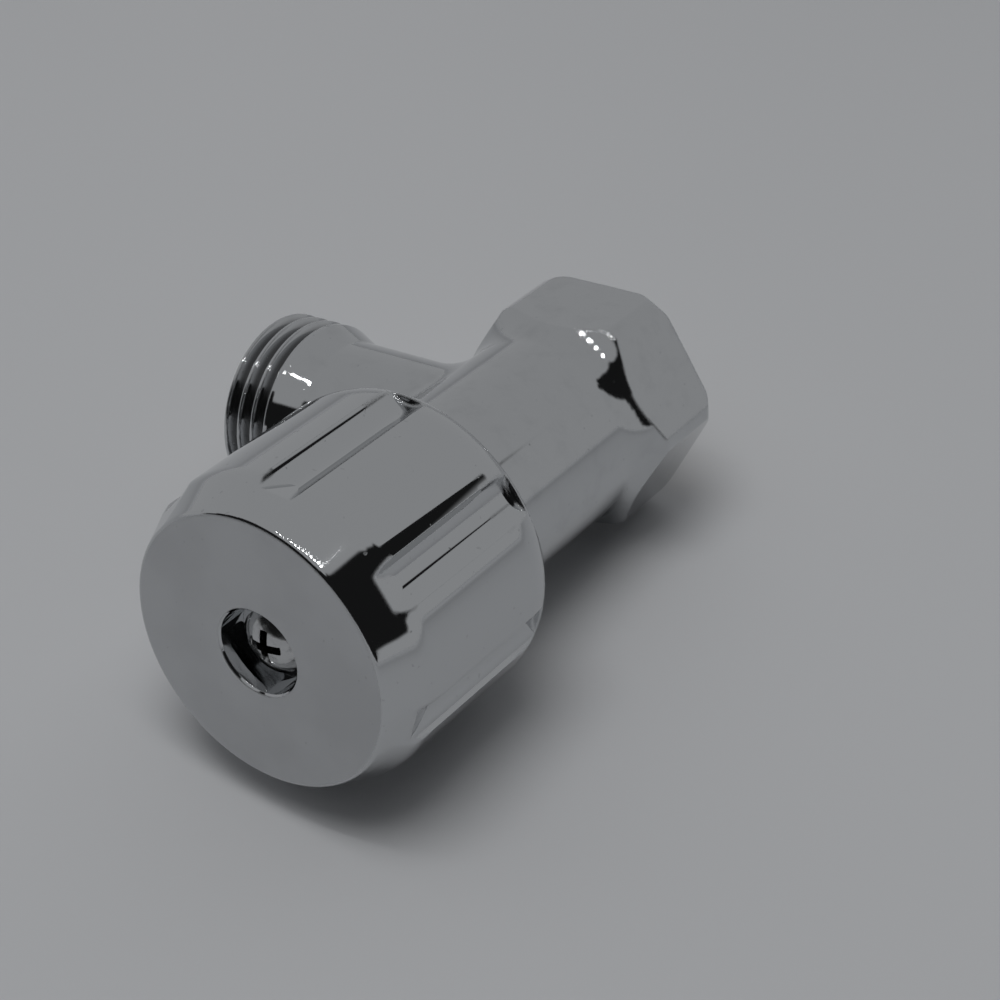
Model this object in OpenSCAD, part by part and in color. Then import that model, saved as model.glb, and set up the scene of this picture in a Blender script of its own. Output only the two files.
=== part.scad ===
/* [Inlet] */
// Outside radius of the pipe thread on both ports, half of 20.955 mm
thread_r = 10.4775; // [10.4775:0.0001:10.4776]
// Depth of the thread form, from crest to root
thread_depth = 1.162; // [0.9:0.001:1.3]
// Pitch of the pipe thread, 14 threads per inch
thread_pitch = 1.814; // [1.4:0.001:2.2]
// Depth of the threaded inlet
inlet_depth = 12; // [9:0.5:13]
// Size of the hexagon across its flats
hex_af = 24.2; // [23.5:0.1:27]
// Radius that the hexagon's corners are turned down to
hex_corner_r = 13.6; // [13:0.1:15]
// Length of the hexagon along its corners
hex_len = 9.8; // [7:0.1:11]
// Radius of the rounded turning that takes the corners off at the mouth
mouth_round = 1.8; // [0.5:0.1:2.5]

/* [Barrel] */
// Radius of the barrel
barrel_r = 11.2; // [10.6:0.1:11.6]
// Radius of the sweep from the barrel out to the hexagon
flare_r = 5.6; // [3:0.1:6]
// Height of the barrel's top rim above the inlet mouth
barrel_top = 40; // [39:0.5:41]
// Radius of the water way between inlet and seat
seat_way_r = 4.6; // [3.5:0.1:5]
// Height of the seat above the inlet mouth
seat_z = 16; // [15:0.1:16.2]
// Radius of the chamber that holds the headwork
chamber_r = 7.3; // [7.2:0.05:7.6]

/* [Outlet] */
// Height of the outlet's axis above the inlet mouth
outlet_z = 22.4; // [22.2:0.1:23]
// Distance from the stem's axis to the outlet's end
outlet_reach = 30; // [27:0.1:34]
// Length of the outlet's thread
outlet_thread_len = 6.4; // [5:0.1:9]
// Length of the cone between the thread and the neck
runout_len = 3; // [2:0.1:4]
// Radius of the outlet's neck
neck_r = 9.2; // [8.8:0.1:9.9]
// Radius of the hollow curve where the neck meets the barrel
neck_fillet = 5; // [2:0.5:6]
// Radius of the outlet's bore
outlet_bore_r = 6; // [4.5:0.1:6.1]

/* [Headwork] */
// Radius of the headwork's thread in the barrel
bonnet_thread_r = 8.3; // [8.2:0.05:8.8]
// Size of the headwork's spanner hexagon across its flats
bonnet_af = 17; // [16:0.5:18]
// Thickness of the spanner hexagon
bonnet_hex_h = 4.5; // [3.5:0.1:5]
// Thickness of the flat gasket under the spanner hexagon
gasket_t = 0.5; // [0.3:0.05:1]
// Thickness of the round flange under the spanner hexagon
bonnet_flange_t = 1; // [0.8:0.1:1.5]
// Radius of the headwork's neck above the hexagon
bonnet_neck_r = 6.4; // [6:0.1:7]
// Height of the headwork's neck, up to the face that carries the stop ring
bonnet_neck_h = 3.1; // [2.5:0.1:3.5]
// Wall of the sleeve that holds the discs
sleeve_wall = 1.4; // [1.2:0.05:1.6]
// Height of the two windows in the sleeve
window_h = 6; // [4:0.1:6.2]
// Width of the two windows in the sleeve
window_w = 8; // [6:0.1:9]
// Thickness of the rubber lip seal on the seat
seal_t = 2.4; // [2:0.1:2.6]
// Thickness of each ceramic disc
disc_t = 2.2; // [1.8:0.1:2.4]
// Angle of each of the two openings in a ceramic disc
port_angle = 80; // [60:1:84]

/* [Spindle] */
// Radius of the spindle's shaft
spindle_r = 4; // [3.8:0.05:4.2]
// Thickness of the flange that holds the spindle in
flange_t = 2.4; // [2:0.1:3]
// Thickness of the plastic washer above the flange
thrust_t = 0.5; // [0.4:0.05:0.8]
// Section radius of the spindle's sealing rings
o_ring_r = 0.55; // [0.5:0.01:0.6]
// Distance from the spindle's flange to its lower sealing ring
o_ring_edge = 3; // [2:0.1:4]
// Distance between the two sealing rings
o_ring_gap = 4; // [2.5:0.1:5]
// Height of the stop ring
stop_h = 1.8; // [1.5:0.1:2.2]
// Angle that the stop ring's lug covers
stop_lug_angle = 40; // [30:1:50]
// Turn of the knob from shut to fully open
turn_angle = 90; // [80:1:95]
// Thickness of the circlip
circlip_t = 0.7; // [0.6:0.05:0.8]
// Number of teeth on the splined head
spline_teeth = 20; // [16:2:24]

/* [Knob] */
// Length of the knob from its back rim to its face
knob_len = 25.2; // [24.8:0.1:28]
// How far the knob's skirt reaches over the barrel
skirt_overlap = 2.2; // [1:0.1:3]
// Radius of the knob's body
knob_r = 17.2; // [16.8:0.1:18]
// Radius of the knob's back rim
knob_back_r = 16.4; // [16:0.1:16.8]
// Length of the rounded stretch at the knob's back rim
back_len = 3.2; // [2:0.1:5]
// Radius of the flat face, up to its sharp corner
face_r = 15.1; // [14:0.1:15.5]
// Slope of the crown behind the face, measured from the stem
crown_angle = 24; // [18:1:35]
// Radius that blends the crown into the knob's body
crown_blend_r = 4; // [1:0.5:6]
// Radius of the round edge between face and crown
face_edge_r = 0.75; // [0.2:0.05:0.9]
// Number of finger flutes
flutes = 7; // [5:1:8]
// Turn of the first flute round the stem
flute_turn = 33.3; // [20:0.1:45]
// Radius of the round cutter that makes a flute
flute_r = 3.2; // [2.6:0.1:4]
// Depth of a flute
flute_depth = 1.4; // [1:0.1:1.5]
// Thickness of the wall that closes each flute at the back
flute_end_t = 0.6; // [0.4:0.1:1.5]
// Distance from the face to the deep end of a flute's front slope
flute_front = 6.6; // [5:0.1:9]
// Slope of a flute's front, measured from the stem
flute_slope = 12; // [8:1:30]
// Depth of the flat over the crown in front of each flute
flat_depth = 0.3; // [0.1:0.05:0.4]
// Difference in slope between the crown and the flat
flat_rise = 3; // [1:1:8]
// Radius of the recess for the screw
recess_r = 4.7; // [4.2:0.1:5.5]
// Depth of the recess for the screw
recess_depth = 3.7; // [3.2:0.1:4]
// Thickness of the floor under the recess
recess_floor_t = 2; // [1.5:0.1:2.5]
// Thickness of the knob's outer wall at its back rim
knob_wall = 2.4; // [2.2:0.1:3]
// Radius of the hub inside the knob
hub_r = 7.4; // [7.2:0.1:8.5]
// Thickness of the webs between hub and wall
web_t = 1.6; // [1.2:0.1:2.5]

/* [Screw] */
// Radius of the screw's thread
screw_r = 2; // [1.9:0.05:2]
// Radius of the pan head
screw_head_r = 3.5; // [3.2:0.1:4]
// Height of the pan head
screw_head_h = 2.7; // [2.2:0.1:3]
// Length of the screw under its head
screw_len = 10; // [8:0.5:11]

/* [Hidden] */
$fn = 96;

// clearances between pieces
touch = 0.02;
running = 0.06;
slack = 0.3;

// heights along the stem, from the inlet mouth up to the knob
flare_top = hex_len + flare_r * sin(acos((barrel_r + flare_r - hex_corner_r) / flare_r));
disc_z = seat_z + seal_t + touch;
moving_z = disc_z + disc_t + touch;
web_z = moving_z + disc_t + touch;
bonnet_z = barrel_top + gasket_t + 2 * touch;
neck_z = bonnet_z + bonnet_hex_h;
stop_z = neck_z + bonnet_neck_h;
circlip_z = stop_z + stop_h + 4 * touch;
spline_z = circlip_z + circlip_t + 4 * touch;
thread_floor_z = barrel_top - 9;
flange_z = thread_floor_z - flange_t;
shoulder_z = thread_floor_z + thrust_t + 2 * touch;
knob_back_z = barrel_top - skirt_overlap;
knob_face_z = knob_back_z + knob_len;
recess_z = knob_face_z - recess_depth;
hub_top_z = recess_z - recess_floor_t;
spindle_top = hub_top_z - touch;
lower_ring_z = thread_floor_z + o_ring_edge;
upper_ring_z = lower_ring_z + o_ring_gap;
hub_z = spline_z + 2 * touch;
sleeve_r = chamber_r - slack;
sleeve_bore_r = sleeve_r - sleeve_wall;
bonnet_bore_r = spindle_r + running;
groove_r = bonnet_bore_r - 2 * o_ring_r - 2 * touch;
tooth_h = 0.3;
key_w = 2;
key_h = 0.9;
flat_off = spindle_r - 0.5;
cavity_r = knob_back_r - knob_wall;
crown_z = knob_face_z - (knob_r - face_r) / tan(crown_angle);
inlet_bore_r = thread_r - thread_depth;
insert_af = 2 * spindle_r + 2.4;
colour_chrome = [0.6, 0.61, 0.62];
colour_brass = [0.78, 0.62, 0.32];
colour_rubber = [0.1, 0.1, 0.11];
colour_ceramic = [0.92, 0.9, 0.86];
colour_plastic = [0.85, 0.85, 0.8];

// a turned piece between two heights
module rod(r, z0, z1) {
    translate([0, 0, z0]) cylinder(r = r, h = z1 - z0);
}

// a turned piece whose axis stands off the stem's
module rod_at(x, r, z0, z1) {
    translate([x, 0, 0]) rod(r, z0, z1);
}

// a flat ring between two heights
module ring(r_out, r_in, z0, z1) {
    difference() {
        rod(r_out, z0, z1);
        rod(r_in, z0 - 1, z1 + 1);
    }
}

// a hexagonal prism whose corners point along the outlet
module hexagon(af, z0, z1) {
    translate([0, 0, z0]) cylinder(r = af / 2 / cos(30), h = z1 - z0, $fn = 6);
}

// the stem lies along Y with the knob towards -Y, and the outlet points to -X
module in_line() {
    rotate([90, 0, 0]) children();
}

// points of a round arc in a profile
function arc(cx, cy, r, a0, a1, n = 10) =
    [for (i = [0:n]) let (a = a0 + (a1 - a0) * i / n) [cx + r * cos(a), cy + r * sin(a)]];

// the outside of barrel and hexagon as one turned form
module barrel_form() {
    sweep_a = acos((barrel_r + flare_r - hex_corner_r) / flare_r);
    profile = concat(
        [[0, 0]],
        arc(hex_corner_r - mouth_round, mouth_round, mouth_round, -50, 0),
        [[hex_corner_r, hex_len]],
        arc(barrel_r + flare_r, flare_top, flare_r, 180 + sweep_a, 180),
        [[barrel_r, barrel_top - 0.5], [barrel_r - 0.5, barrel_top], [0, barrel_top]]);
    intersection() {
        rotate_extrude() polygon([for (p = profile) [p[0], max(p[1], 0)]]);
        union() {
            hexagon(hex_af, -1, flare_top);
            rod(barrel_r + touch / 2, flare_top - 0.5, barrel_top + 1);
        }
    }
}

// the hollow curve round the foot of the neck, as a ball of its radius would roll there: each section runs
// from the neck to the barrel and is closed by a point inside the body
module neck_fillet_form() {
    f = neck_fillet;
    steps = 6;
    sections = 60;
    sink = 0.03;
    function section(a) =
        let (side = (neck_r + f) * sin(a), up = (neck_r + f) * cos(a),
             out = sqrt(pow(barrel_r + f, 2) - pow(side, 2)), centre = [-out, side, up],
             to_neck = [0, -sin(a), -cos(a)], to_stem = [out, -side, 0] / (barrel_r + f),
             gap = acos(to_neck * to_stem))
        concat([[-out, (neck_r - 1) * sin(a), (neck_r - 1) * cos(a)]],
            [for (i = [0:steps]) centre + (f + sink) * (sin(gap * (1 - i / steps)) * to_neck
                + sin(gap * i / steps) * to_stem) / sin(gap)],
            [centre + (f + 1) * to_stem,
             [-out * 0.55, (neck_r - 2) * sin(a), (neck_r - 2) * cos(a)]]);
    ring_points = steps + 4;
    points = [for (j = [0:sections - 1]) each section(360 * j / sections)];
    faces = [for (j = [0:sections - 1]) for (i = [0:ring_points - 1])
        let (k = (j + 1) % sections, n = (i + 1) % ring_points)
        [j * ring_points + i, k * ring_points + i, k * ring_points + n, j * ring_points + n]];
    translate([0, 0, outlet_z]) polyhedron(points, faces, convexity = 4);
}

// the outlet's neck, run-out cone and thread as one turned form along -X
module outlet_form() {
    flank = thread_depth * tan(27.5);
    crest = thread_pitch / 2 - flank;
    thread_x = outlet_reach - outlet_thread_len;
    first_x = outlet_reach - 0.4 - crest / 2;
    ridges = floor((first_x - thread_x) / thread_pitch) + 1;
    gaps = [for (i = [0:ridges - 2]) let (x = first_x - (i + 0.5) * thread_pitch) each
        [[thread_r, x + crest / 2 + flank], [inlet_bore_r, x + crest / 2],
         [inlet_bore_r, x - crest / 2], [thread_r, x - crest / 2 - flank]]];
    profile = concat(
        [[0, 0], [0, outlet_reach], [thread_r - 0.75, outlet_reach], [thread_r, first_x + crest / 2]],
        gaps,
        [[thread_r, thread_x], [neck_r, thread_x - runout_len], [neck_r, 0]]);
    translate([0, 0, outlet_z]) rotate([0, -90, 0]) rotate_extrude() polygon(profile);
}

// the valve's body, one chromed brass casting
module valve_body() {
    color(colour_chrome) in_line() difference() {
        union() {
            barrel_form();
            outlet_form();
            neck_fillet_form();
        }
        rod(inlet_bore_r, -1, inlet_depth);
        translate([0, 0, -touch]) cylinder(r1 = inlet_bore_r + 0.4 + touch, r2 = inlet_bore_r, h = 0.4 + touch);
        rod(seat_way_r, inlet_depth - 1, seat_z + 1);
        rod(chamber_r, seat_z, barrel_top + 1);
        rod(bonnet_thread_r + touch, thread_floor_z, barrel_top + 1);
        translate([0, 0, outlet_z]) rotate([0, -90, 0]) cylinder(r = outlet_bore_r, h = outlet_reach + 1);
    }
}

// the headwork's housing: thread, spanner hexagon, neck with its stop wall, and the windowed sleeve
module bonnet() {
    open_angle = turn_angle + stop_lug_angle + 2;
    color(colour_brass) in_line() difference() {
        union() {
            rod(sleeve_r, seat_z + 0.5, thread_floor_z + 1);
            rod(bonnet_thread_r, thread_floor_z + 0.2, bonnet_z);
            rod(barrel_r - 0.8, bonnet_z, bonnet_z + bonnet_flange_t);
            intersection() {
                hexagon(bonnet_af, bonnet_z, neck_z);
                translate([0, 0, bonnet_z]) cylinder(r1 = bonnet_af, r2 = bonnet_af / 2 + 0.3, h = bonnet_hex_h);
            }
            rod(bonnet_neck_r, neck_z - 1, stop_z);
            translate([0, 0, stop_z - 1]) rotate([0, 0, open_angle - 1 - stop_lug_angle / 2])
                rotate_extrude(angle = 360 - open_angle) translate([bonnet_neck_r - 1, 0])
                    square([0.9, stop_h + 0.8]);
        }
        rod(bonnet_bore_r, disc_z, stop_z + stop_h);
        rod(sleeve_bore_r, seat_z, shoulder_z);
        for (a = [0, 180]) rotate([0, 0, a])
            translate([0, -window_w / 2, web_z]) cube([sleeve_r + 1, window_w, window_h]);
        for (a = [90, 270]) rotate([0, 0, a])
            translate([0, -1.6, seat_z]) cube([sleeve_r + 1, 3.2, disc_z + disc_t + touch - seat_z]);
    }
}

// flat fibre gasket between the barrel's rim and the spanner hexagon
module bonnet_gasket() {
    color(colour_plastic) in_line()
        ring(barrel_r - 0.9, bonnet_thread_r + running, barrel_top + touch, barrel_top + touch + gasket_t);
}

// rubber lip seal between the seat and the fixed disc
module lip_seal() {
    color(colour_rubber) in_line()
        ring(sleeve_bore_r - touch, sleeve_bore_r - 0.8, seat_z + touch / 2, seat_z + seal_t + touch / 2);
}

// plastic ring that keeps the lip seal round
module seal_ring() {
    color(colour_plastic) in_line()
        ring(sleeve_bore_r - 0.8 - touch, sleeve_bore_r - 1.5, seat_z + 0.2, seat_z + seal_t - 0.1);
}

// the two fan-shaped openings of a ceramic disc
module ports(z0, z1) {
    for (a = [0, 180]) rotate([0, 0, a - port_angle / 2])
        rotate_extrude(angle = port_angle) translate([1.3, z0]) square([sleeve_bore_r - 2.6, z1 - z0]);
}

// ceramic disc that stands still, held by two ears in the sleeve's slots
module fixed_disc() {
    color(colour_ceramic) in_line() difference() {
        union() {
            rod(sleeve_bore_r - running, disc_z, disc_z + disc_t);
            translate([-1.5, -sleeve_r + 0.1, disc_z]) cube([3, 2 * sleeve_r - 0.2, disc_t]);
        }
        ports(disc_z - 1, disc_z + disc_t + 1);
    }
}

// ceramic disc that the spindle turns, with a slot across its top; shut, its openings lie crosswise
module moving_disc() {
    color(colour_ceramic) in_line() difference() {
        rod(sleeve_bore_r - running, moving_z, moving_z + disc_t);
        rotate([0, 0, 90]) ports(moving_z - 1, moving_z + disc_t + 1);
        translate([-sleeve_r, -key_w / 2 - running, moving_z + disc_t - key_h - touch])
            cube([2 * sleeve_r, key_w + 2 * running, key_h + 1]);
    }
}

// outline of the splined head, or of the hole it fits when grown
function spline_points(grow) = [for (i = [0:2 * spline_teeth - 1])
    let (r = spindle_r - 0.1 + grow - (i % 2) * tooth_h, a = i * 180 / spline_teeth) [r * cos(a), r * sin(a)]];

// the spindle: key, web, flange, grooved shaft, flats for the stop ring, and splined head
module spindle() {
    color(colour_brass) in_line() difference() {
        union() {
            intersection() {
                rod(sleeve_bore_r - slack, moving_z + disc_t - key_h, flange_z + 1);
                translate([-sleeve_r, -key_w / 2, moving_z]) cube([2 * sleeve_r, key_w, flange_z - moving_z + 1]);
            }
            rod(sleeve_bore_r - slack, flange_z, thread_floor_z);
            rod(spindle_r, thread_floor_z - 1, stop_z);
            intersection() {
                rod(spindle_r, stop_z - 1, circlip_z + touch);
                translate([-flat_off, -spindle_r, stop_z - 1]) cube([2 * flat_off, 2 * spindle_r, stop_h + 3]);
            }
            rod(spindle_r - 0.7, circlip_z - 1, spline_z + 1);
            translate([0, 0, spline_z]) linear_extrude(spindle_top - spline_z) polygon(spline_points(0));
        }
        for (z = [lower_ring_z, upper_ring_z])
            ring(spindle_r + 1, groove_r, z - o_ring_r * 1.4, z + o_ring_r * 1.4);
        rod(screw_r + touch, spindle_top - screw_len + recess_floor_t, spindle_top + 1);
    }
}

// slippery washer between the spindle's flange and the headwork
module thrust_washer() {
    color(colour_plastic) in_line()
        ring(sleeve_bore_r - slack, spindle_r + running, thread_floor_z + touch, thread_floor_z + touch + thrust_t);
}

// rubber ring in a groove of the spindle
module o_ring(z) {
    color(colour_rubber) in_line() translate([0, 0, z]) rotate_extrude()
        translate([groove_r + touch + o_ring_r, 0]) circle(r = o_ring_r, $fn = 48);
}

module o_ring_lower() {
    o_ring(lower_ring_z);
}

module o_ring_upper() {
    o_ring(upper_ring_z);
}

// ring on the spindle's flats, whose lug meets the headwork's stop wall at both ends of the turn
module stop_ring() {
    color(colour_brass) in_line() difference() {
        union() {
            rod(bonnet_neck_r - 1.3, stop_z + touch, stop_z + stop_h);
            rotate([0, 0, -stop_lug_angle / 2]) rotate_extrude(angle = stop_lug_angle)
                translate([0, stop_z + touch]) square([bonnet_neck_r - 0.2, stop_h - touch]);
        }
        intersection() {
            rod(spindle_r + running, stop_z - 1, stop_z + stop_h + 1);
            translate([-flat_off - running, -spindle_r - 1, stop_z - 1])
                cube([2 * (flat_off + running), 2 * spindle_r + 2, stop_h + 2]);
        }
    }
}

// open spring ring in the spindle's groove
module circlip() {
    color(colour_brass) in_line() translate([0, 0, circlip_z + touch]) rotate([0, 0, 120])
        rotate_extrude(angle = 300) translate([spindle_r - 0.7 + touch, 0]) square([1.6, circlip_t]);
}

// plastic insert in the knob's hub, six-sided outside and splined inside
module spline_insert() {
    color(colour_plastic) in_line() difference() {
        hexagon(insert_af, hub_z, spindle_top + slack - touch);
        translate([0, 0, hub_z - 1]) linear_extrude(spindle_top + slack - hub_z + 1)
            polygon(spline_points(running));
    }
}

// outline of the knob as a turned form
module knob_profile() {
    back_r = (pow(back_len, 2) + pow(knob_r - knob_back_r, 2)) / (2 * (knob_r - knob_back_r));
    back_a = asin(back_len / back_r);
    blend_z = crown_z - crown_blend_r * tan(crown_angle / 2);
    edge_x = face_r - face_edge_r * tan(45 - crown_angle / 2);
    polygon(concat(
        [[0, knob_back_z]],
        arc(knob_r - back_r, knob_back_z + back_len, back_r, -back_a, 0),
        arc(knob_r - crown_blend_r, blend_z, crown_blend_r, 0, crown_angle),
        arc(edge_x, knob_face_z - face_edge_r, face_edge_r, crown_angle, 90, 8),
        [[0, knob_face_z]]));
}

// a finger flute: a round trough along the knob with a closed back and a slope at the front, and a flat over
// the crown in front of it
module flute() {
    bottom = knob_r - flute_depth;
    front = knob_face_z - flute_front;
    difference() {
        rod_at(bottom + flute_r, flute_r, knob_back_z + flute_end_t, knob_face_z + 1);
        translate([bottom, 0, front]) rotate([0, flute_slope, 0])
            translate([-flute_r, -2 * flute_r, 0]) cube([flute_r, 4 * flute_r, knob_len]);
    }
    translate([knob_r - flat_depth, 0, crown_z]) rotate([0, flat_rise - crown_angle, 0])
        translate([0, -2 * flute_r, -flute_r]) cube([flute_r, 4 * flute_r, knob_len / 2]);
}

// the knob: one hollow casting with hub, webs, splined hole and screw recess
module knob() {
    color(colour_chrome) in_line() difference() {
        rotate_extrude() knob_profile();
        for (i = [0:flutes - 1]) rotate([0, 0, flute_turn + i * 360 / flutes]) flute();
        difference() {
            rod(cavity_r, knob_back_z - 1, hub_top_z);
            rod(hub_r, hub_z, hub_top_z + 1);
            for (a = [0:120:240]) rotate([0, 0, a])
                translate([0, -web_t / 2, hub_z + 1]) cube([cavity_r + 0.5, web_t, hub_top_z]);
        }
        hexagon(insert_af + 2 * touch, hub_z - 1, spindle_top + slack);
        rod(screw_r + 0.25, hub_z, knob_face_z);
        rod(recess_r, recess_z, knob_face_z + 1);
        translate([0, 0, knob_face_z - 0.25]) cylinder(r1 = recess_r, r2 = recess_r + 0.5, h = 0.5);
    }
}

// pan-head screw with a cross recess that holds the knob on the spindle
module knob_screw() {
    head_z = recess_z + touch;
    dome_r = (pow(screw_head_r, 2) + pow(screw_head_h / 2, 2)) / screw_head_h;
    color(colour_chrome) in_line() difference() {
        union() {
            rod(screw_r, head_z - screw_len, head_z + 0.5);
            intersection() {
                rod(screw_head_r, head_z, head_z + screw_head_h);
                translate([0, 0, head_z + screw_head_h - dome_r]) sphere(r = dome_r);
            }
        }
        for (a = [0, 90]) rotate([0, 0, a]) intersection() {
            translate([-2, -0.45, head_z + screw_head_h - 1.8]) cube([4, 0.9, 3]);
            translate([0, 0, head_z + screw_head_h - 1.8]) cylinder(r1 = 0.9, r2 = 2.2, h = 2);
        }
    }
}

valve_body();
bonnet();
bonnet_gasket();
lip_seal();
seal_ring();
fixed_disc();
moving_disc();
spindle();
thrust_washer();
o_ring_lower();
o_ring_upper();
stop_ring();
circlip();
spline_insert();
knob();
knob_screw();
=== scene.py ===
# %% [markdown]
# An angle valve: a chromed brass body with a hexagonal inlet and a threaded outlet, and a fluted knob that shuts
# it with a quarter turn. The solids come ready made, so this lesson is about light and finish. Chrome has almost
# no colour of its own and shows what stands around it, so the surroundings are planned as carefully as the metal.

import math

import bpy
from mathutils import Matrix, Vector


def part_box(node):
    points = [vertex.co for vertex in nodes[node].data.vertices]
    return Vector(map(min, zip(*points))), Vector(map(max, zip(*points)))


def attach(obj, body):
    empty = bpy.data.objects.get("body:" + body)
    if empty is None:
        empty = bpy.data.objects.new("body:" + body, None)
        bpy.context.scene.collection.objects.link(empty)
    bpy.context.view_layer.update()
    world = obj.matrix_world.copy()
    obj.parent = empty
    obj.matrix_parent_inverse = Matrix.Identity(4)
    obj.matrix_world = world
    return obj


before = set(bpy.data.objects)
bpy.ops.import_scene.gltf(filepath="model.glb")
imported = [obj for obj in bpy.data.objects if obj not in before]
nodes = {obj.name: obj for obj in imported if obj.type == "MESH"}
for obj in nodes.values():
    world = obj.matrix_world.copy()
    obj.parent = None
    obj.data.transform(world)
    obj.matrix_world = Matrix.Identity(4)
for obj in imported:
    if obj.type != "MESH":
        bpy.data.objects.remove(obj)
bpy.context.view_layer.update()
bpy.ops.object.select_all(action="DESELECT")

# %% [markdown]
# The camera stands where the photographer stood. A camera can be placed by eye, but then every edge is a little
# off. Here its place, turn and lens were worked out from the valve's own circles and edges, so that the knob's
# face, the barrel and the hexagon fall on the same spots of the picture. It is 28 cm away with a long lens.

# %% Camera
eye = Vector((0.138298, -0.206119, 0.132148))
right = Vector((0.818843, 0.570609, -0.062461))
upward = Vector((-0.247984, 0.449788, 0.858018))
ahead = Vector((-0.517687, 0.687093, -0.509808))
camera_data = bpy.data.cameras.new("camera")
camera_data.lens = 88.985
camera_data.sensor_width = 36
camera_data.clip_start = 0.01
camera = bpy.data.objects.new("camera", camera_data)
bpy.context.collection.objects.link(camera)
camera.matrix_world = Matrix.Translation(eye) @ Matrix((right, upward, -ahead)).transposed().to_4x4()
bpy.context.scene.camera = camera
print("camera is", round(eye.length * 1000), "mm from the inlet's mouth")

# %% [markdown]
# A loose valve can't stand on its knob or hexagon. It tips until three places touch the table: the knob's
# shoulder, a corner of the hexagon and the outlet's thread. Tilting the valve would spoil its own square frame, so
# the table is tilted instead, to meet those three places. A hair of room keeps the surfaces from mixing.

# %% Floor
floor_normal = Vector((0.1618, -0.1081, 0.9809)).normalized()
floor_touch = Vector((-0.00607, -0.00133, -0.01210))
floor_room = 0.00005
bpy.ops.mesh.primitive_plane_add(size=8, location=floor_touch - floor_normal * floor_room)
floor = bpy.context.object
floor.name = "floor"
floor.rotation_mode = "QUATERNION"
floor.rotation_quaternion = Vector((0, 0, 1)).rotation_difference(floor_normal)
bpy.ops.object.transform_apply(location=True, rotation=True, scale=True)
print("the table leans", round(math.degrees(floor_normal.angle(Vector((0, 0, 1)))), 1), "degrees from the valve")


# %% [markdown]
# Every finish below is worked out from the place on the piece. Writing that as sums reads better than a list of
# boxes and wires, so a small class wraps a socket: adding, multiplying or comparing two of them adds the Math
# node that does it.

# %% Shader sums
class Sum:
    """A socket or a number of one node tree, which can be reckoned with."""

    def __init__(self, tree, value):
        self.tree = tree
        self.value = value

    def math(self, operation, *others):
        node = self.tree.nodes.new("ShaderNodeMath")
        node.operation = operation
        for place, item in zip(node.inputs, (self, *others)):
            item = item.value if isinstance(item, Sum) else item
            if isinstance(item, (int, float)):
                place.default_value = item
            else:
                self.tree.links.new(item, place)
        return Sum(self.tree, node.outputs[0])

    def __add__(self, other): return self.math("ADD", other)
    def __radd__(self, other): return Sum(self.tree, other).math("ADD", self)
    def __sub__(self, other): return self.math("SUBTRACT", other)
    def __rsub__(self, other): return Sum(self.tree, other).math("SUBTRACT", self)
    def __mul__(self, other): return self.math("MULTIPLY", other)
    def __rmul__(self, other): return Sum(self.tree, other).math("MULTIPLY", self)
    def __truediv__(self, other): return self.math("DIVIDE", other)
    def root(self): return self.math("SQRT")
    def most(self, other): return self.math("MAXIMUM", other)

    def step(self, low, high):
        """0 at low and 1 at high, with a smooth passage; low may be the larger of the two."""
        node = self.tree.nodes.new("ShaderNodeMapRange")
        node.interpolation_type = "SMOOTHSTEP"
        turned = low > high
        node.inputs["From Min"].default_value = min(low, high)
        node.inputs["From Max"].default_value = max(low, high)
        node.inputs["To Min"].default_value = 1.0 if turned else 0.0
        node.inputs["To Max"].default_value = 0.0 if turned else 1.0
        self.tree.links.new(self.value, node.inputs["Value"])
        return Sum(self.tree, node.outputs["Result"])


# %% [markdown]
# A finish is one material: a main shader, the place on the piece in millimetres, and a few ways to add nodes. Two
# kinds of noise serve nearly every finish: clouds for stains and grain, and rings for the marks of a lathe's tool.
# Real edges are never quite sharp. A Bevel node bends the normals near an edge as if it were rounded, which gives
# chrome edges their fine lines of light and leaves the mesh alone.

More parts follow.
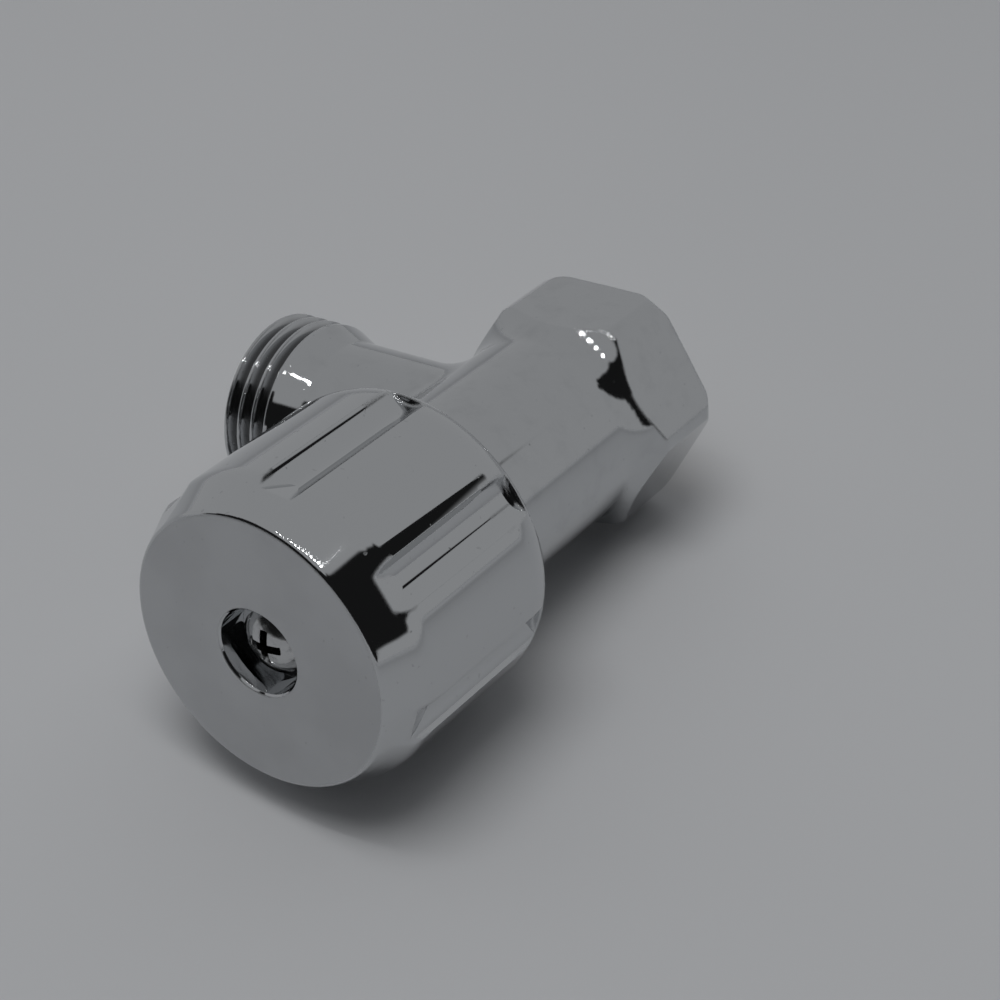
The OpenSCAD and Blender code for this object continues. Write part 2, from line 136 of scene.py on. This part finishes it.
# %% A finish
class Finish:
    """A material, its place on the piece in millimetres, and the ways to add nodes to it."""

    def __init__(self, name, **constants):
        self.material = bpy.data.materials.new(name)
        self.material.use_nodes = True
        self.tree = self.material.node_tree
        self.shader = self.tree.nodes["Principled BSDF"]
        for socket, value in constants.items():
            self.shader.inputs[socket.replace("_", " ")].default_value = value
        self.place = self.node("ShaderNodeTexCoord").outputs["Object"]
        parts = self.node("ShaderNodeSeparateXYZ", Vector=self.place)
        self.x, self.y, self.z = (Sum(self.tree, parts.outputs[i]) * 1000 for i in range(3))

    def node(self, kind, settings=None, **sockets):
        """Any node: its settings first, then the values or links of its sockets."""
        made = self.tree.nodes.new(kind)
        for name, value in (settings or {}).items():
            setattr(made, name, value)
        for name, value in sockets.items():
            place = made.inputs[name.replace("_", " ")]
            value = value.value if isinstance(value, Sum) else value
            if isinstance(value, bpy.types.NodeSocket):
                self.tree.links.new(value, place)
            else:
                place.default_value = value
        return made

    def noise(self, scale, detail=2.0, rough=0.5, stretch=None):
        """Cloudy noise between 0 and 1; scale counts lumps per metre."""
        place = self.place
        if stretch:
            place = self.node("ShaderNodeMapping", Vector=self.place, Scale=stretch).outputs["Vector"]
        made = self.node("ShaderNodeTexNoise", Vector=place, Scale=scale, Detail=detail, Roughness=rough)
        return Sum(self.tree, made.outputs["Fac"])

    def rings(self, along, scale, detail=2.0, rough=0.5):
        """Noise that changes along one measure only, so that it draws rings or lines."""
        made = self.node("ShaderNodeTexNoise", {"noise_dimensions": "1D"}, W=along,
                         Scale=scale, Detail=detail, Roughness=rough)
        return Sum(self.tree, made.outputs["Fac"])

    def blend(self, factor, first, second):
        """A colour between two others."""
        made = self.node("ShaderNodeMix", {"data_type": "RGBA"})
        self.tree.links.new(factor.value, made.inputs[0])
        for place, colour in ((made.inputs[6], first), (made.inputs[7], second)):
            if isinstance(colour, bpy.types.NodeSocket):
                self.tree.links.new(colour, place)
            else:
                place.default_value = (*colour, 1)
        return made.outputs[2]

    def feed(self, **sockets):
        """Links values or colours to the main shader."""
        for name, value in sockets.items():
            value = value.value if isinstance(value, Sum) else value
            self.tree.links.new(value, self.shader.inputs[name.replace("_", " ")])

    def soft_edges(self, radius_mm):
        """Normals as if every edge were rounded by a radius in millimetres."""
        return self.node("ShaderNodeBevel", {"samples": 6}, Radius=radius_mm / 1000).outputs["Normal"]

    def two_normals(self, factor, first, second):
        """Normals between two others."""
        made = self.node("ShaderNodeMix", {"data_type": "VECTOR"})
        for place, value in ((0, factor.value), (4, first), (5, second)):
            self.tree.links.new(value, made.inputs[place])
        return made.outputs[1]

    def bump(self, height, depth_mm, normal=None):
        """Raises the surface by height, 0 to 1, times a depth in millimetres, over other normals if given."""
        made = self.node("ShaderNodeBump", Height=height * (depth_mm / 1000), Distance=1.0)
        if normal:
            self.tree.links.new(normal, made.inputs["Normal"])
        self.tree.links.new(made.outputs["Normal"], self.shader.inputs["Normal"])

    def put_on(self, *names):
        for name in names:
            for slot in nodes[name].material_slots:
                slot.material = self.material
        print(self.material.name, "is on", ", ".join(names))


# %% [markdown]
# The body is one casting with several surfaces, and each is found by its place. Plating hardly reaches into the
# two bores, so brass shows there: they are found by their radius round their own axes. The roots of the outlet's
# thread are made dull, and their colour is darkened as painted shade. Separate materials on separate faces would
# do the same, but the solid's faces aren't sorted that way, and a mask made of sums needs no change to the mesh.

# %% Places on the body
inlet_depth = 12.0
inlet_r = 9.3
outlet_y = -22.4
outlet_bore_r = 6.0
outlet_bore_end = -9.0
thread_end = -23.3
edge_width = 0.1

body = Finish("body_chrome", Metallic=1.0)
stem_r = (body.x * body.x + body.z * body.z).root()
branch_y = body.y - outlet_y
branch_r = (branch_y * branch_y + body.z * body.z).root()
inlet_wall = (stem_r.step(inlet_r + 0.15 + edge_width, inlet_r + 0.15)
              * body.y.step(-inlet_depth - 0.2 - edge_width, -inlet_depth - 0.2))
outlet_wall = (branch_r.step(outlet_bore_r + 0.15 + edge_width, outlet_bore_r + 0.15)
               * body.x.step(outlet_bore_end, outlet_bore_end - 0.2))
bare = inlet_wall.most(outlet_wall)
on_thread = body.x.step(thread_end, thread_end - 0.3)
roots = branch_r.step(10.35, 9.7) * branch_r.step(8.4, 8.9) * on_thread
print("bare bores: radius", inlet_r, "and", outlet_bore_r, "mm")

# %% [markdown]
# Chrome plate on cast brass is bright and a little uneven. Polishing by hand leaves soft waves a few millimetres
# long, which bend the reflections, and the plate has a few pits and finger marks. Colour hardly changes, so nearly
# all of the finish is in roughness and a very shallow bump. The bores keep the rings that the boring tool left.
# The castings' edges are rounded widely, and the thread's crests only a little, so two Bevel nodes are blended.

# %% Chrome of the body
bright_plate, stained_plate = (0.565, 0.575, 0.585), (0.41, 0.42, 0.43)
painted_root_shade = (0.26, 0.262, 0.265)
light_brass, dark_brass = (0.74, 0.58, 0.30), (0.58, 0.42, 0.20)
waves = body.noise(150, 1.0)
smears = body.noise(90, 4.0, 0.62, stretch=(1.0, 0.6, 1.3)).step(0.45, 0.85)
specks = body.noise(1500, 1.0).step(0.745, 0.785)
tarnish = body.noise(320, 3.0, 0.6).step(0.45, 0.9)
bore_rings = body.rings(body.y + body.x * outlet_wall, 4.0)
plate = body.blend(tarnish * 0.35 + specks * 0.5, bright_plate, stained_plate)
# painted shade: the roots of the outlet's thread are darkened in colour
plate = body.blend(roots * 0.85, plate, painted_root_shade)
body.feed(Base_Color=body.blend(bare, plate, body.blend(tarnish, light_brass, dark_brass)),
          Roughness=(0.022 + smears * 0.06 + specks * 0.2 + roots * 0.16) * (1 - bare)
          + (0.24 + bore_rings * 0.12) * bare)
edges = body.two_normals(on_thread, body.soft_edges(0.6), body.soft_edges(0.32))
body.bump((waves - specks * 0.6) * (1 - bare) + bore_rings * bare, 0.006, edges)
body.put_on("valve_body")

# %% [markdown]
# The knob has the same plate, but its flat face was turned on a lathe and only lightly polished, so it is a soft
# even grey. The face is found by its height along the stem: everything right at the front plane is satin. Fine
# rings round the stem stand for the marks of the lathe's tool. The crown and the back edge were buffed round,
# while the flutes kept crisp edges.

# %% Places on the knob
face_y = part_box("knob")[0][1] * 1000
print("the knob's face is at y =", round(face_y, 2), "mm")
knob = Finish("knob_chrome", Metallic=1.0)
radius = (knob.x * knob.x + knob.z * knob.z).root()
face = knob.y.step(face_y + 0.12, face_y + 0.03)
crown = knob.y.step(face_y + 6.5, face_y + 5.5) * radius.step(15.2, 15.5)
back = knob.y.step(-43.0, -42.0) * radius.step(15.0, 15.6)

# %% Chrome and satin face of the knob
knob_bright, knob_stained = (0.58, 0.59, 0.60), (0.45, 0.455, 0.465)
waves = knob.noise(140, 1.0)
smears = knob.noise(80, 4.0, 0.62, stretch=(1.0, 0.5, 1.0)).step(0.45, 0.85)
specks = knob.noise(1300, 1.0).step(0.735, 0.78)
rings = knob.rings(radius, 5.5, 3.0, 0.7)
grain = knob.noise(2600, 3.0, 0.6)
patches = knob.noise(70, 3.0, 0.55).step(0.4, 0.62)
face_rough = 0.30 + patches * 0.05 + rings * 0.05 + grain * 0.04
side_rough = 0.014 + smears * 0.05 + specks * 0.2
knob.feed(Base_Color=knob.blend(specks * 0.5 + face * (0.25 + patches * 0.2), knob_bright, knob_stained),
          Roughness=face_rough * face + side_rough * (1 - face))
edges = knob.two_normals(crown.most(back), knob.soft_edges(0.1), knob.soft_edges(0.6))
knob.bump((waves * 0.7 - specks * 0.6) * (1 - face) + (rings * 0.10 + grain * 0.12) * face, 0.006, edges)
knob.put_on("knob")

# %% [markdown]
# The screw is plain plated steel, duller and a little darker than the knob, and bruised where a driver gripped
# it. The inside of its cross is painted near black, as painted shade in the recess. The head is a shallow dome
# that falls with the square of the radius, so whatever lies clearly below that dome is inside the cross.

# %% Screw
head_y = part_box("knob_screw")[0][1] * 1000
print("the screw's head ends at y =", round(head_y, 2), "mm")
dome_fall = 0.1
light_steel, worn_steel = (0.56, 0.565, 0.57), (0.40, 0.405, 0.41)
painted_shade_black = (0.022, 0.021, 0.020)
screw = Finish("screw_steel", Metallic=1.0)
bruises = screw.noise(900, 4.0, 0.65).step(0.45, 0.7)
squared = screw.x * screw.x + screw.z * screw.z
# painted shade: the inside of the cross is darkened to near black
shaded_cross = (screw.y - head_y - squared * dome_fall).step(0.25, 0.6) * squared.step(7.5, 6.5)
screw.feed(Base_Color=screw.blend(shaded_cross, screw.blend(bruises, light_steel, worn_steel), painted_shade_black),
           Roughness=0.12 + bruises * 0.18 + shaded_cross * 0.3)
screw.bump(screw.noise(700, 3.0), 0.012)
screw.put_on("knob_screw")

# %% [markdown]
# Machined brass keeps the fine rings of the cutting tool. On turned pieces they run round the stem, so the
# pattern is made from the height along the stem with a little noise, which makes each ring differ.

# %% Brass of the headwork
brass = Finish("headwork_brass", Metallic=1.0)
tool_marks = brass.rings(brass.y + brass.noise(300) * 0.2, 4.0)
dull = brass.noise(180, 4.0, 0.6).step(0.4, 0.75)
brass.feed(Base_Color=brass.blend(dull, (0.80, 0.62, 0.30), (0.62, 0.44, 0.20)),
           Roughness=0.20 + dull * 0.16 + tool_marks * 0.08)
brass.bump(tool_marks, 0.012)
brass.put_on("bonnet", "spindle", "stop_ring")

# %% [markdown]
# The seals are black rubber, matt with a faint bloom. The fibre gasket is reddish brown with short flecks, and
# the plastic rings are milky. None of them is polished, so each is a plain shader with a fine grain.

# %% Rubber, fibre and plastic
rubber = Finish("seal_rubber")
bloom = rubber.noise(420, 4.0, 0.6).step(0.45, 0.8)
rubber.feed(Base_Color=rubber.blend(bloom, (0.018, 0.018, 0.020), (0.050, 0.050, 0.052)),
            Roughness=0.55 + bloom * 0.2)
rubber.bump(rubber.noise(2500, 2.0), 0.015)
rubber.put_on("lip_seal", "o_ring_lower", "o_ring_upper")

fibre = Finish("gasket_fibre")
flecks = fibre.noise(1600, 3.0, 0.6, stretch=(1.0, 5.0, 1.0)).step(0.4, 0.65)
fibre.feed(Base_Color=fibre.blend(flecks, (0.30, 0.11, 0.06), (0.45, 0.21, 0.13)), Roughness=0.75 + flecks * 0.1)
fibre.bump(flecks, 0.03)
fibre.put_on("bonnet_gasket")

milky = Finish("inner_plastic", Subsurface_Weight=0.1)
flow = milky.noise(120, 3.0, 0.5)
milky.feed(Base_Color=milky.blend(flow, (0.80, 0.79, 0.73), (0.70, 0.69, 0.62)), Roughness=0.42 + flow * 0.12)
milky.bump(milky.noise(900, 2.0), 0.01)
milky.put_on("seal_ring", "thrust_washer", "spline_insert")

# %% [markdown]
# The two discs are fired ceramic, lapped so flat that they seal by themselves. They are off-white, with a fine
# grain and a soft gloss. The circlip is blued spring steel.

# %% Ceramic and spring steel
ceramic = Finish("disc_ceramic", Coat_Weight=0.3, Coat_Roughness=0.1)
grain = ceramic.noise(3000, 3.0, 0.6)
ceramic.feed(Base_Color=ceramic.blend(grain.step(0.35, 0.7), (0.86, 0.84, 0.79), (0.78, 0.76, 0.70)),
             Roughness=0.22 + grain * 0.12)
ceramic.bump(grain, 0.003)
ceramic.put_on("fixed_disc", "moving_disc")

spring = Finish("clip_steel", Metallic=1.0)
heat = spring.noise(260, 3.0).step(0.35, 0.7)
spring.feed(Base_Color=spring.blend(heat, (0.22, 0.23, 0.26), (0.36, 0.36, 0.37)), Roughness=0.28 + heat * 0.12)
spring.bump(spring.noise(1400, 2.0), 0.008)
spring.put_on("circlip")

# %% [markdown]
# The inlet has an inside pipe thread, 14 turns to the inch. A thread is a ridge of one section carried round and
# along the bore at once, which is what the Screw modifier does: a small triangle is set into the bore's wall with
# its tip towards the stem, and the modifier sweeps it about the stem. Then the two open ends are filled.

# %% Thread in the inlet
pitch = 1.814 / 1000
thread_start = 1.2 / 1000
thread_turns = 5.3
thread_steps = 220
ridge = 0.36 / 1000
ridge_stretch = 2.2
ridge_middle = inlet_r / 1000 - ridge * 0.1
bpy.ops.object.select_all(action="DESELECT")
bpy.ops.mesh.primitive_circle_add(vertices=3, radius=ridge, fill_type="NOTHING")
thread = bpy.context.object
thread.name = "inlet_thread"
bpy.ops.object.mode_set(mode="EDIT")
bpy.ops.mesh.select_all(action="SELECT")
bpy.ops.transform.rotate(value=math.radians(90), orient_axis="Z", center_override=(0, 0, 0))
bpy.ops.transform.resize(value=(1.0, ridge_stretch, 1.0), center_override=(0, 0, 0))
bpy.ops.transform.translate(value=(-ridge_middle, -thread_start, 0))
bpy.ops.object.mode_set(mode="OBJECT")

sweep = thread.modifiers.new("sweep", "SCREW")
sweep.axis = "Y"
sweep.angle = math.radians(360 * thread_turns)
sweep.screw_offset = -pitch * thread_turns
sweep.steps = sweep.render_steps = thread_steps
sweep.use_merge_vertices = False
bpy.ops.object.modifier_apply(modifier="sweep")

# %% Close and ride the thread
bpy.ops.object.mode_set(mode="EDIT")
bpy.ops.mesh.select_all(action="SELECT")
bpy.ops.mesh.fill_holes(sides=3)
bpy.ops.mesh.select_all(action="SELECT")
bpy.ops.mesh.normals_make_consistent(inside=False)
bpy.ops.object.mode_set(mode="OBJECT")
bpy.ops.object.shade_smooth_by_angle(angle=math.radians(40))
thread.data.materials.append(brass.material)
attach(thread, "body")
print("inlet thread:", len(thread.data.polygons), "faces,", thread_turns, "turns")

# %% [markdown]
# The table is a plain pale sheet, a little uneven in tone. It is matt, so that only its shade and the valve's
# shadow show. Far from the lamps it would fall dark, so beyond the lit patch it glows faintly. Only the camera and
# mirrored rays see that glow, and it lights nothing.

# %% Table
glow_start, glow_full = 330, 900
sheet = Finish("sheet", Roughness=0.85, Specular_IOR_Level=0.15, Emission_Strength=1.0)
tone = sheet.noise(9, 2.0, 0.5)
reach = (sheet.x * sheet.x + sheet.y * sheet.y + sheet.z * sheet.z).root()
rays = sheet.node("ShaderNodeLightPath")
seen = Sum(sheet.tree, rays.outputs["Is Glossy Ray"]).most(Sum(sheet.tree, rays.outputs["Is Camera Ray"]))
sheet.feed(Base_Color=sheet.blend(tone, (0.585, 0.595, 0.61), (0.622, 0.628, 0.642)),
           Emission_Color=sheet.blend(reach.step(glow_start, glow_full) * seen, (0, 0, 0), (0.15, 0.152, 0.156)))
floor.data.materials.append(sheet.material)
print("the sheet's glow starts", glow_start, "mm away")

# %% [markdown]
# Chrome is lit by what it mirrors. A grey tent gives the broad even grey of its sides, and the dark room shows
# through the gap where the photographer stands: that gives the black bands where the form turns. Black cards could
# make such bands too, but a gap in the world has no edge-on side and casts no shadow. Directions are worked out
# against the tilted table, as a bearing round it and a height over it, both in degrees.

# %% Directions round the valve
world = bpy.data.worlds.new("tent")
bpy.context.scene.world = world
world.use_nodes = True
tent = world.node_tree
look = tent.nodes.new("ShaderNodeTexCoord").outputs["Generated"]
away = (ahead - floor_normal * ahead.dot(floor_normal)).normalized()
side = away.cross(floor_normal)


def along(direction):
    """How far the view ray points along a direction, from -1 to 1."""
    node = tent.nodes.new("ShaderNodeVectorMath")
    node.operation = "DOT_PRODUCT"
    tent.links.new(look, node.inputs[0])
    node.inputs[1].default_value = direction
    return Sum(tent, node.outputs["Value"])


height = along(floor_normal).math("ARCSINE") * (180 / math.pi)
bearing = along(side).math("ARCTAN2", along(away)) * (180 / math.pi)
print("bearing 0 points along", [round(v, 3) for v in away])


# %% [markdown]
# The gap's upper and lower edges are two curves of height over bearing, each held by the stops of a colour ramp.
# Between the stops the ramp draws straight lines, which is close enough for an edge that a bent surface mirrors.
# The camera itself sees the tent without its gap, so that the valve has a pale background from every side.

# %% Tent and gap
def edge(points):
    """The height, in degrees, of a curve over all bearings, given as (bearing, height) pairs."""
    ramp = tent.nodes.new("ShaderNodeValToRGB")
    stops = ramp.color_ramp.elements
    while len(stops) < len(points):
        stops.new(0.5)
    for stop, (b, h) in zip(stops, points):
        stop.position = (b + 180) / 360
        stop.color = (*[(h + 90) / 180] * 3, 1)
    tent.links.new(((bearing + 180) / 360).value, ramp.inputs["Fac"])
    return Sum(tent, ramp.outputs["Color"]) * 180 - 90


gap_top = edge([(-180, 55), (-166, 48), (-150, 41), (-110, 41), (-92, 36), (-88, 20), (-84, 3), (-62, -20),
                (-60, -30), (61.5, -30), (63.0, 41), (70, 45), (80, 52), (90, 57), (105, 60), (120, 63), (150, 66),
                (165, 60), (180, 55)])
gap_foot = edge([(-180, 2), (-100, 2), (-75, 6), (-66, 10), (-60, 0), (58, 30.3), (116, 30), (122, 22),
                 (126, 12), (132, 3), (145, 0), (180, 1)])
edge_soft = 0.9
gap_dark = 0.97
tent_level = 0.36
roof_fall = 0.005
tint = {"Red": 0.985, "Green": 1.0, "Blue": 1.02}
gap = (gap_top - height).step(-edge_soft, edge_soft) * (height - gap_foot).step(-edge_soft, edge_soft)
to_camera = Sum(tent, tent.nodes.new("ShaderNodeLightPath").outputs["Is Camera Ray"])
level = (tent_level - height.step(-10, 80) * roof_fall) * (1 - gap * gap_dark * (1 - to_camera))
grey = tent.nodes.new("ShaderNodeCombineColor")
for channel, strength in tint.items():
    tent.links.new((level * strength).value, grey.inputs[channel])
background = tent.nodes["Background"]
tent.links.new(grey.outputs["Color"], background.inputs["Color"])
background.inputs["Strength"].default_value = 1.0
print("tent level", tent_level)

# %% [markdown]
# A strip of small lamps runs across the tent's roof. The knob's round edge mirrors it as a row of white beads and
# the outlet's shoulder as one glint. One long lamp would give a line instead, so each lamp is made by itself.
# Small lamps alone would cut a hard shadow: most of the light comes from one broad lamp higher up, which mirrored
# rays don't see.

# %% Lamps
lamp_target = Vector((-0.005, -0.034, 0))
strip_ends = ((-0.044, -0.42), (-0.285, 0.21))
strip_count = 13
strip_height = 0.45


def hang_lamp(name, size, energy, rise, reach, off):
    """A round lamp at a rise over the valve, with its slopes away from the camera and to the camera's right."""
    way = away * reach + side * off + floor_normal
    data = bpy.data.lights.new(name, "AREA")
    data.shape = "DISK"
    data.size = size
    data.energy = energy
    lamp = bpy.data.objects.new(name, data)
    bpy.context.collection.objects.link(lamp)
    lamp.location = lamp_target + way * rise
    lamp.rotation_mode = "QUATERNION"
    lamp.rotation_quaternion = way.to_track_quat("Z", "Y")
    return lamp


for i in range(strip_count):
    part = i / (strip_count - 1)
    reach, off = (first + (last - first) * part for first, last in zip(*strip_ends))
    hang_lamp("roof_lamp", size=0.012, energy=0.012, rise=strip_height, reach=reach, off=off)
soft_lamp = hang_lamp("soft_lamp", size=0.46, energy=1.7, rise=0.8, reach=-0.16, off=-0.13)
soft_lamp.visible_glossy = False
print("lamps:", strip_count + 1)

# %% [markdown]
# The thread is the only piece that this script adds, and it must not make the valve larger than its solids.
# The colours are shown with the plain Standard view transform.

# %% Colour view
bpy.context.scene.view_settings.view_transform = "Standard"
